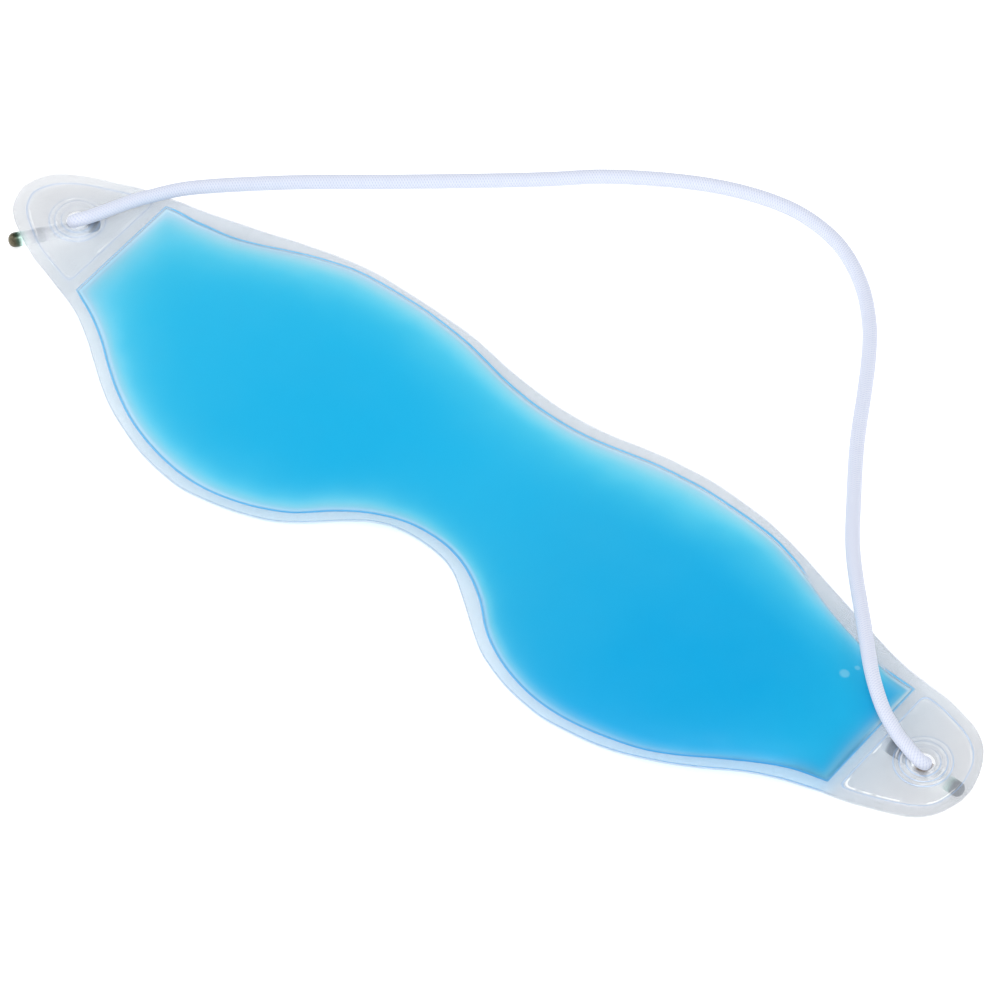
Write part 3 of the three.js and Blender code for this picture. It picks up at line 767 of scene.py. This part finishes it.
# ---------------------------------------------------------------------- barbs
def barb(name, neck, angle, shift):
    """Steel strip rolled into a tube: an open seam along the bottom, pinched round the cord, rounded ends."""
    count, sides = 121, 48
    t = np.linspace(-1, 1, count)
    xs = np.sign(t) * BARB_HALF * (1 - (1 - np.abs(t)) ** 1.25)
    end = np.clip((BARB_HALF - np.abs(xs)) / BARB_R, 0, 1)
    prof = BARB_R * np.sqrt(np.maximum(1 - (1 - end) ** 2.4, 0)) ** 1.0
    prof[0] = prof[-1] = 0.0
    wall = 0.35
    iprof = np.maximum(prof - wall, 0.02)
    gap = 0.13                                  # half angle of the seam
    phi = np.linspace(-math.pi / 2 + gap, 1.5 * math.pi - gap, sides)
    pinch = 1 - 0.10 * gauss(xs, 1.5)
    x_in = np.clip(xs, -(BARB_HALF - wall), BARB_HALF - wall)
    outer = np.stack([np.repeat(xs[:, None], sides, 1),
                      prof[:, None] * np.cos(phi)[None, :] * (1 + 0.05 * gauss(xs, 1.8))[:, None],
                      prof[:, None] * np.sin(phi)[None, :] * pinch[:, None]], -1)
    inn = np.stack([np.repeat(x_in[:, None], sides, 1),
                    iprof[:, None] * np.cos(phi)[None, :],
                    iprof[:, None] * np.sin(phi)[None, :] * pinch[:, None]], -1)
    verts = np.concatenate([outer.reshape(-1, 3), inn.reshape(-1, 3)])
    n = count * sides
    faces = [grid_faces(count, sides, 0, flip=True), grid_faces(count, sides, n, flip=False)]
    i = np.arange(count - 1)
    for col, swap in ((0, False), (sides - 1, True)):
        a, b = i * sides + col, (i + 1) * sides + col
        quad = np.stack([a, b, b + n, a + n], 1)
        faces.append(quad if not swap else quad[:, ::-1])
    k = np.arange(sides - 1)
    first = np.stack([k + 1, k, k + n, k + 1 + n], 1)
    last = (count - 1) * sides
    second = np.stack([last + k, last + k + 1, last + k + 1 + n, last + k + n], 1)
    faces += [first, second]
    a = math.radians(angle)
    verts[:, 0] += shift
    x, y = verts[:, 0] * math.cos(a) - verts[:, 1] * math.sin(a), verts[:, 0] * math.sin(a) + verts[:, 1] * math.cos(a)
    verts = np.column_stack([x + neck[0], y + neck[1], verts[:, 2] + BARB_Z])
    obj, _ = make_object(name, verts, faces), None
    import bmesh
    bm = bmesh.new()
    bm.from_mesh(obj.data)
    bmesh.ops.remove_doubles(bm, verts=bm.verts, dist=1e-7)
    bmesh.ops.dissolve_degenerate(bm, dist=1e-8, edges=bm.edges)
    bmesh.ops.recalc_face_normals(bm, faces=bm.faces)
    bm.to_mesh(obj.data)
    bm.free()
    attribute(obj, "along", [0.0] * len(obj.data.vertices))
    # distance along the barb, for the painted reflection bands on the plating
    co = np.empty(len(obj.data.vertices) * 3, np.float32)
    obj.data.vertices.foreach_get("co", co)
    co = co.reshape(-1, 3) / MM
    along = (co[:, 0] - neck[0]) * math.cos(a) + (co[:, 1] - neck[1]) * math.sin(a) - shift
    outward = 1 if neck[0] * math.cos(a) > 0 else -1        # the end that points to the tab's edge
    obj.data.attributes["along"].data.foreach_set("value", (outward * along).astype(np.float32))
    return obj


left_barb = barb("left_barb_rolled", LEFT_NECK, 53, -3.3)
right_barb = barb("right_barb_rolled", RIGHT_NECK, 0, -0.7)


# ------------------------------------------------------------------ materials
def new_material(name):
    m = bpy.data.materials.new(name)
    m.use_nodes = True
    nt = m.node_tree
    nt.nodes.clear()
    out = nt.nodes.new("ShaderNodeOutputMaterial")
    p = nt.nodes.new("ShaderNodeBsdfPrincipled")
    nt.links.new(p.outputs[0], out.inputs["Surface"])
    return m, nt, p, out


def attr(nt, name):
    a = nt.nodes.new("ShaderNodeAttribute")
    a.attribute_name = name
    return a.outputs["Fac"]


def math_node(nt, op, a, b=None, c=None, clamp=False):
    n = nt.nodes.new("ShaderNodeMath")
    n.operation = op
    n.use_clamp = clamp
    for i, v in enumerate((a, b, c)):
        if v is None:
            continue
        if isinstance(v, (int, float)):
            n.inputs[i].default_value = v
        else:
            nt.links.new(v, n.inputs[i])
    return n.outputs[0]


def ramp(nt, fac, stops, interpolation="LINEAR"):
    r = nt.nodes.new("ShaderNodeValToRGB")
    r.color_ramp.interpolation = interpolation
    els = r.color_ramp.elements
    while len(els) > 1:
        els.remove(els[-1])
    els[0].position, els[0].color = stops[0][0], (*stops[0][1], 1)
    for pos, col in stops[1:]:
        e = els.new(pos)
        e.color = (*col, 1)
    nt.links.new(fac, r.inputs["Fac"])
    return r.outputs["Color"]


def remap(nt, value, a, b, c=0.0, d=1.0, kind="SMOOTHSTEP"):
    n = nt.nodes.new("ShaderNodeMapRange")
    n.interpolation_type = kind
    nt.links.new(value, n.inputs["Value"])
    for key, v in zip(("From Min", "From Max", "To Min", "To Max"), (a, b, c, d)):
        n.inputs[key].default_value = v
    return n.outputs["Result"]


def mix_colour(nt, fac, a, b, blend="MIX"):
    n = nt.nodes.new("ShaderNodeMix")
    n.data_type = "RGBA"
    n.blend_type = blend
    for key, v in (("Factor", fac), ("A", a), ("B", b)):
        socket = [s for s in n.inputs if s.name == key and s.type == ("VALUE" if key == "Factor" else "RGBA")][0]
        if isinstance(v, (int, float)):
            socket.default_value = v
        elif isinstance(v, tuple):
            socket.default_value = (*v, 1)
        else:
            nt.links.new(v, socket)
    return [s for s in n.outputs if s.type == "RGBA"][0]


def noise(nt, scale, detail=3.0, rough=0.5, coords=None):
    n = nt.nodes.new("ShaderNodeTexNoise")
    n.inputs["Scale"].default_value = scale
    n.inputs["Detail"].default_value = detail
    n.inputs["Roughness"].default_value = rough
    if coords is None:
        coords = nt.nodes.new("ShaderNodeTexCoord").outputs["Object"]
    nt.links.new(coords, n.inputs["Vector"])
    return n.outputs["Fac"]


def bump(nt, p, height, strength, distance):
    b = nt.nodes.new("ShaderNodeBump")
    b.inputs["Strength"].default_value = strength
    b.inputs["Distance"].default_value = distance
    nt.links.new(height, b.inputs["Height"])
    nt.links.new(b.outputs["Normal"], p.inputs["Normal"])


def lin(r, g, b):
    f = lambda v: v / 255 / 12.92 if v / 255 <= 0.04045 else ((v / 255 + 0.055) / 1.055) ** 2.4
    return (f(r), f(g), f(b))


def dimmed(r, g, b, light=1.08):
    """Base colour that comes out as this sRGB colour under the studio's light."""
    return tuple(v / light for v in lin(r, g, b))


def vinyl_material(name):
    m, nt, p, out = new_material(name)
    weld, edge, pocket, radius, blue, mark, film, line = (
        attr(nt, k) for k in ("weld", "edge", "pocket", "radius", "blue", "mark", "film", "line"))
    mul = lambda a, b: math_node(nt, "MULTIPLY", a, b)
    add = lambda a, b: math_node(nt, "ADD", a, b)
    top = lambda a, b: math_node(nt, "MAXIMUM", a, b)
    stripe = lambda value, at, near, far: remap(
        nt, math_node(nt, "ABSOLUTE", math_node(nt, "SUBTRACT", value, at)), near, far, 1, 0)
    sep = nt.nodes.new("ShaderNodeSeparateXYZ")
    nt.links.new(nt.nodes.new("ShaderNodeTexCoord").outputs["Object"], sep.inputs[0])
    # thin marks where the sheets are fused: the gel weld line in its own blue; along the pocket line and the rings,
    # painted shade on the raised beads and painted highlights beside them
    line_w = mul(stripe(weld, 0.03, 0.12, 0.34), line)
    bead_shade = top(top(stripe(pocket, 0.05, 0.10, 0.30), stripe(radius, 5.78, 0.08, 0.26)),
                top(stripe(radius, 4.72, 0.08, 0.25), stripe(radius, 3.34, 0.08, 0.25)))
    # painted shade along the film's cut edge: a darker grey-blue line standing in for the light bent in the edge
    rim = remap(nt, edge, 0.06, 0.40, 1, 0)
    # painted highlights: white streaks beside the pocket line and the rings, broken up by noise, weaker on the left tab
    # and towards the brow
    broken = remap(nt, noise(nt, 230, 2.0), 0.42, 0.58, 0.2, 1)
    painted_glint = top(top(stripe(pocket, 0.55, 0.08, 0.30), stripe(radius, 5.38, 0.08, 0.26)),
                top(stripe(radius, 4.32, 0.08, 0.26), stripe(radius, 2.95, 0.08, 0.30)))
    painted_glint = mul(mul(painted_glint, broken), remap(nt, sep.outputs["X"], -0.1, 0.1, 0.62, 1, "LINEAR"))
    haze = remap(nt, noise(nt, 70, 2.0), 0.3, 0.7, -1, 1, "LINEAR")
    inside = remap(nt, weld, 0.0, 0.6, 0, 1)          # the gel wets the film, so it turns clear
    colour = mix_colour(nt, blue, lin(182, 187, 195), lin(132, 197, 235))
    # painted shade: the pocket line and the rings are darkened with a blue-lavender colour and hide more of the floor
    colour = mix_colour(nt, mul(bead_shade, mark), colour, lin(150, 182, 222))
    colour = mix_colour(nt, mul(painted_glint, mark), colour, (0.97, 0.98, 1.0))
    colour = mix_colour(nt, rim, colour, mix_colour(nt, blue, lin(160, 168, 180), lin(84, 148, 204)))
    colour = mix_colour(nt, line_w, colour, mix_colour(nt, blue, lin(82, 182, 232), lin(62, 156, 220)))
    nt.links.new(colour, p.inputs["Base Color"])
    a = add(film, mul(haze, 0.010))
    a = mul(a, remap(nt, inside, 0, 1, 1, 0.015, "LINEAR"))
    a = top(a, mul(mul(bead_shade, mark), remap(nt, sep.outputs["X"], -0.105, 0.095, 0.36, 0.44, "LINEAR")))
    a = top(a, mul(mul(painted_glint, mark), remap(nt, sep.outputs["Y"], -0.003, 0.011, 0.70, 0.20)))
    a = top(a, mul(mul(rim, mark), add(0.22, mul(blue, 0.52))))
    a = top(a, mul(mul(line_w, mark), 0.74))
    nt.links.new(a, p.inputs["Alpha"])
    p.inputs["IOR"].default_value = 1.5
    nt.links.new(remap(nt, inside, 0, 1, 0.6, 0.14, "LINEAR"), p.inputs["Specular IOR Level"])
    nt.links.new(remap(nt, inside, 0, 1, 0.5, 0.04, "LINEAR"), p.inputs["Coat Weight"])
    p.inputs["Coat Roughness"].default_value = 0.07
    nt.links.new(remap(nt, noise(nt, 260, 3.0), 0.3, 0.7, 0.12, 0.22), p.inputs["Roughness"])
    bump(nt, p, noise(nt, 420, 2.0), 0.08, 0.0002)
    return m


BUBBLES = [(-59.2, 24.6, 0.75), (83.7, 9.7, 1.25), (84.6, 12.7, 0.7)]     # x, y, radius in mm: air caught under the front sheet


def gel_material():
    """Sky-blue gel. "tone" runs from 0 at the weld, where the gel is thin and pale, to 1 where it is deep."""
    m, nt, p, out = new_material("cooling_gel")
    tone, skin, pure, lift = (attr(nt, k) for k in ("tone", "skin", "pure", "lift"))
    coords = nt.nodes.new("ShaderNodeTexCoord").outputs["Object"]
    sep = nt.nodes.new("ShaderNodeSeparateXYZ")
    nt.links.new(coords, sep.inputs[0])
    wander = remap(nt, noise(nt, 75, 3.0), 0.25, 0.75, -0.05, 0.05, "LINEAR")
    t = math_node(nt, "ADD", tone, math_node(nt, "MULTIPLY", wander, remap(nt, tone, 0.03, 0.25)), clamp=True)
    stops = [(0.00, (178, 214, 238)), (0.06, (151, 216, 241)), (0.15, (127, 214, 242)), (0.23, (110, 211, 243)),
             (0.31, (96, 208, 243)), (0.40, (82, 204, 241)), (0.56, (66, 198, 239)), (0.73, (56, 194, 237)),
             (1.00, (46, 188, 236))]
    colour = ramp(nt, t, [(a, dimmed(*c)) for a, c in stops])
    purer = [(0.00, (152, 204, 238)), (0.06, (131, 199, 237)), (0.15, (113, 193, 236)), (0.31, (92, 187, 235)),
             (0.40, (80, 184, 235)), (0.56, (66, 181, 234)), (0.73, (50, 177, 233)), (1.00, (36, 174, 233))]
    colour = mix_colour(nt, pure, colour, ramp(nt, t, [(a, dimmed(*c)) for a, c in purer]))
    x01 = remap(nt, sep.outputs["X"], -0.1, 0.1, 0, 1, "LINEAR")
    deep = ramp(nt, x01, [((x + 100) / 200, dimmed(*c)) for x, c in (
        (-88, (56, 196, 238)), (-72, (41, 189, 238)), (-44, (31, 184, 236)), (-22, (26, 182, 235)), (0, (38, 185, 236)),
        (26, (33, 178, 231)), (50, (17, 173, 231)), (72, (10, 171, 229)), (88, (22, 177, 230)))])
    share = math_node(nt, "MULTIPLY", remap(nt, t, 0.2, 0.85), 0.95)
    colour = mix_colour(nt, share, colour, deep)
    cloud = remap(nt, noise(nt, 38, 3.0), 0.38, 0.72, 0, 0.07)
    colour = mix_colour(nt, cloud, colour, dimmed(60, 196, 238))
    brow = remap(nt, sep.outputs["Y"], -0.004, 0.010, 0, 1)
    nose_skin = ramp(nt, x01, [((x + 100) / 200, dimmed(*c, k)) for x, c, k in (
        (-60, (180, 218, 240), .92), (-20, (166, 214, 243), .99), (20, (160, 210, 240), .90), (50, (140, 199, 237), 1.02),
        (80, (90, 178, 227), 1.10))])
    colour = mix_colour(nt, skin, colour, mix_colour(nt, brow, nose_skin, dimmed(193, 218, 236, .99)))
    for x, y, r in BUBBLES:
        d = nt.nodes.new("ShaderNodeVectorMath")
        d.operation = "DISTANCE"
        flat = nt.nodes.new("ShaderNodeCombineXYZ")
        nt.links.new(sep.outputs["X"], flat.inputs[0])
        nt.links.new(sep.outputs["Y"], flat.inputs[1])
        nt.links.new(flat.outputs[0], d.inputs[0])
        d.inputs[1].default_value = (x * MM, y * MM, 0)
        disc = remap(nt, d.outputs["Value"], 0.55 * r * MM, r * MM, 0.45, 0)
        colour = mix_colour(nt, disc, colour, dimmed(150, 216, 240))
    # the nose side faces the light more squarely than the brow side does
    gain = ramp(nt, remap(nt, sep.outputs["Y"], -0.03, 0.03, 0, 1, "LINEAR"),
                [(0.0, (.80, .82, .82)), (0.5, (.80, .86, .855)), (0.9, (.90, .94, .905))])
    colour = mix_colour(nt, 1.0, colour, gain, "MULTIPLY")
    # painted light: the colour is scaled by the lift attribute, lighter along the shaded brow near the weld and darker
    # in a few other places
    painted_light_scaled = nt.nodes.new("ShaderNodeVectorMath")
    painted_light_scaled.operation = "SCALE"
    nt.links.new(colour, painted_light_scaled.inputs[0])
    nt.links.new(lift, painted_light_scaled.inputs["Scale"])
    colour = painted_light_scaled.outputs[0]
    nt.links.new(colour, p.inputs["Base Color"])
    p.inputs["Specular IOR Level"].default_value = 0.10
    p.inputs["Subsurface Weight"].default_value = 0.10
    p.inputs["Subsurface Radius"].default_value = (0.4, 0.9, 1.0)
    p.inputs["Subsurface Scale"].default_value = 0.0015
    nt.links.new(remap(nt, noise(nt, 120, 2.0), 0.3, 0.7, 0.34, 0.46), p.inputs["Roughness"])
    bump(nt, p, noise(nt, 140, 2.0), 0.06, 0.0004)
    return m


def braid_material():
    m, nt, p, out = new_material("braided_polyester")
    relief = attr(nt, "relief")
    # painted shade: the braid's valleys are given a darker colour than its crests
    crest_vs_shaded_valley = remap(nt, relief, -0.055, 0.015, 0, 1)
    fibre = noise(nt, 5200, 2.0)
    colour = mix_colour(nt, crest_vs_shaded_valley, dimmed(192, 201, 230, 1.22), dimmed(231, 236, 249, 1.22))
    colour = mix_colour(nt, math_node(nt, "MULTIPLY", remap(nt, fibre, 0.35, 0.7), 0.25), colour, dimmed(210, 217, 240, 1.22))
    nt.links.new(colour, p.inputs["Base Color"])
    p.inputs["Roughness"].default_value = 0.82
    p.inputs["Sheen Weight"].default_value = 0.12
    p.inputs["Sheen Roughness"].default_value = 0.4
    p.inputs["Specular IOR Level"].default_value = 0.25
    bump(nt, p, fibre, 0.35, 0.00006)
    return m


def rubber_material():
    m, nt, p, out = new_material("latex_thread")
    n = noise(nt, 900, 3.0)
    nt.links.new(mix_colour(nt, n, lin(222, 210, 178), lin(238, 228, 202)), p.inputs["Base Color"])
    nt.links.new(remap(nt, n, 0.3, 0.7, 0.5, 0.7), p.inputs["Roughness"])
    bump(nt, p, n, 0.2, 0.00004)
    return m


def steel_material(name, stops):
    """Bright zinc plating with painted reflections: pale bands where it mirrors the white surroundings, dark bands
    where it mirrors darker ones and lies in the cord's shade, a mint painted highlight near the tip; stops run from the
    barb's inner end to its outer tip.
    """
    m, nt, p, out = new_material(name)
    along = attr(nt, "along")
    streak = noise(nt, 700, 4.0, 0.6)
    at = remap(nt, math_node(nt, "ADD", along, math_node(nt, "MULTIPLY", math_node(nt, "SUBTRACT", streak, 0.5), 0.8)), -9.6, 9.6, 0, 1, "LINEAR")
    reflection_bands = ramp(nt, at, [(u, lin(*c)) for u, c in stops])
    wear = remap(nt, noise(nt, 1400, 4.0, 0.65), 0.55, 0.75, 0, 0.5)
    colour = mix_colour(nt, math_node(nt, "MULTIPLY", wear, 0.5), reflection_bands, mix_colour(nt, 0.35, reflection_bands, lin(120, 104, 88)))
    nt.links.new(colour, p.inputs["Base Color"])
    # painted reflection: the bright bands are made to glow by emission, standing in for the light table's glow that the
    # plating throws back
    level = nt.nodes.new("ShaderNodeRGBToBW")
    nt.links.new(reflection_bands, level.inputs[0])
    nt.links.new(colour, p.inputs["Emission Color"])
    nt.links.new(remap(nt, level.outputs[0], 0.45, 0.85, 0, 0.42), p.inputs["Emission Strength"])
    nt.links.new(remap(nt, level.outputs[0], 0.2, 0.7, 0.45, 0.12), p.inputs["Metallic"])
    nt.links.new(remap(nt, streak, 0.3, 0.7, 0.22, 0.4), p.inputs["Roughness"])
    bump(nt, p, streak, 0.12, 0.00005)
    return m


# painted reflections and shade along each barb, from its inner end to its tip: pale stops mirror the white
# surroundings, dark ones mirror darker surroundings and the cord's shade, the mint stops are painted highlights
LEFT_REFLECTION_BANDS = [(0.0, (60, 60, 60)), (0.10, (92, 94, 96)), (0.15, (224, 227, 230)), (0.55, (240, 242, 244)),
              (0.66, (206, 208, 212)), (0.73, (216, 218, 222)), (0.79, (240, 242, 243)), (0.86, (196, 226, 216)),
              (0.90, (54, 80, 64)), (0.94, (64, 62, 44)), (1.0, (104, 96, 74))]
RIGHT_REFLECTION_BANDS = [(0.0, (226, 229, 232)), (0.08, (214, 218, 221)), (0.12, (52, 50, 47)), (0.21, (38, 35, 33)), (0.27, (186, 189, 192)),
               (0.42, (238, 240, 242)), (0.48, (128, 118, 110)), (0.57, (132, 122, 114)), (0.62, (236, 238, 240)),
               (0.79, (232, 238, 237)), (0.86, (176, 212, 202)), (0.90, (44, 58, 56)), (1.0, (22, 32, 30))]


film = vinyl_material("clear_vinyl")
for obj in (front, back):
    obj.data.materials.append(film)
gel.data.materials.append(gel_material())
jacket.data.materials.append(braid_material())
rubber = rubber_material()
for s in strands:
    s.data.materials.append(rubber)
left_barb.data.materials.append(steel_material("plated_steel_left", LEFT_REFLECTION_BANDS))
right_barb.data.materials.append(steel_material("plated_steel_right", RIGHT_REFLECTION_BANDS))


# -------------------------------------------------------------- bodies
for obj, node, slot in ((front, "front_sheet", "clear_vinyl"), (back, "back_sheet", "clear_vinyl"),
                        (gel, "gel_fill", "blue_gel")):
    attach(obj, "mask")
    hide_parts(node)
for obj, body, node in ((left_barb, "left_toggle", "left_barb"), (right_barb, "right_toggle", "right_barb")):
    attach(obj, body)
    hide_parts(node)


def along_blend(obj):
    """Bakes the object's placement into its mesh."""
    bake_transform(obj)


along_blend(jacket)
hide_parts("cord_jacket")
for i, s in enumerate(strands):
    along_blend(s)
    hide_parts(f"rubber_strand_{i + 1}")


# ---------------------------------------------------------- floor and lights
def plane(name, size, z, colour, glow):
    bpy.ops.mesh.primitive_plane_add(size=size, location=(0, 0, z))
    o = bpy.context.object
    o.name = name
    m, nt, p, out = new_material(name + "_paint")
    p.inputs["Base Color"].default_value = (*colour, 1)
    p.inputs["Roughness"].default_value = 0.9
    p.inputs["Specular IOR Level"].default_value = 0.1
    p.inputs["Emission Color"].default_value = (1, 1, 1, 1)
    p.inputs["Emission Strength"].default_value = glow
    o.data.materials.append(m)
    return o


# A light table: it glows a little, so that shadows on it burn out to white.
plane("floor", 30.0, -0.00012, (0.80, 0.80, 0.80), 0.45)


def area(name, at, aim, size, watts, colour=(1, 1, 1), size_y=None):
    light = bpy.data.lights.new(name, "AREA")
    light.energy = watts
    light.size = size
    if size_y:
        light.shape = "RECTANGLE"
        light.size_y = size_y
    light.color = colour
    o = bpy.data.objects.new(name, light)
    bpy.context.scene.collection.objects.link(o)
    o.location = at
    o.rotation_euler = (Vector(aim) - Vector(at)).to_track_quat("-Z", "Y").to_euler()
    return o


world = bpy.data.worlds.new("studio")
bpy.context.scene.world = world
world.use_nodes = True
wt = world.node_tree
background = wt.nodes["Background"]
background.inputs["Color"].default_value = (1, 1, 1, 1)
# A pale studio tent with one darker side, opposite the camera, so that flat glossy film doesn't mirror white.
direction = wt.nodes.new("ShaderNodeTexCoord").outputs["Generated"]
dot = wt.nodes.new("ShaderNodeVectorMath")
dot.operation = "DOT_PRODUCT"
dot.inputs[1].default_value = (-0.3763, 0.4687, 0.7993)
wt.links.new(direction, dot.inputs[0])
card = wt.nodes.new("ShaderNodeMapRange")
card.interpolation_type = "SMOOTHSTEP"
for key, v in (("From Min", 0.72), ("From Max", 0.93), ("To Min", 1.22), ("To Max", 0.16)):
    card.inputs[key].default_value = v
wt.links.new(dot.outputs["Value"], card.inputs["Value"])
wt.links.new(card.outputs["Result"], background.inputs["Strength"])
area("key", (0.22, -0.28, 1.25), (0, 0.02, 0), 0.42, 4.2)
area("rim", (-0.9, -0.4, 0.8), (0, 0.02, 0), 0.35, 1.6)

scene = bpy.context.scene
scene.view_settings.view_transform = "Standard"
scene.view_settings.look = "None"
scene.view_settings.exposure = 0.0
scene.view_settings.gamma = 1.0

# --------------------------------------------------------------------- camera
cam = bpy.data.cameras.new("camera")
cam_obj = bpy.data.objects.new("camera", cam)
scene.collection.objects.link(cam_obj)
AZ, EL = math.radians(38.752), math.radians(53.056)
towards = Vector((math.sin(AZ) * math.cos(EL), -math.cos(AZ) * math.cos(EL), math.sin(EL)))
aim = Vector((2.956, 2.149, 4.615)) * MM
cam_obj.location = aim + towards * 1.3965
cam_obj.rotation_euler = (-towards).to_track_quat("-Z", "Y").to_euler()
cam.sensor_width = 36.0
cam.lens = 256.9
cam.clip_start = 0.01
cam.clip_end = 100
scene.camera = cam_obj

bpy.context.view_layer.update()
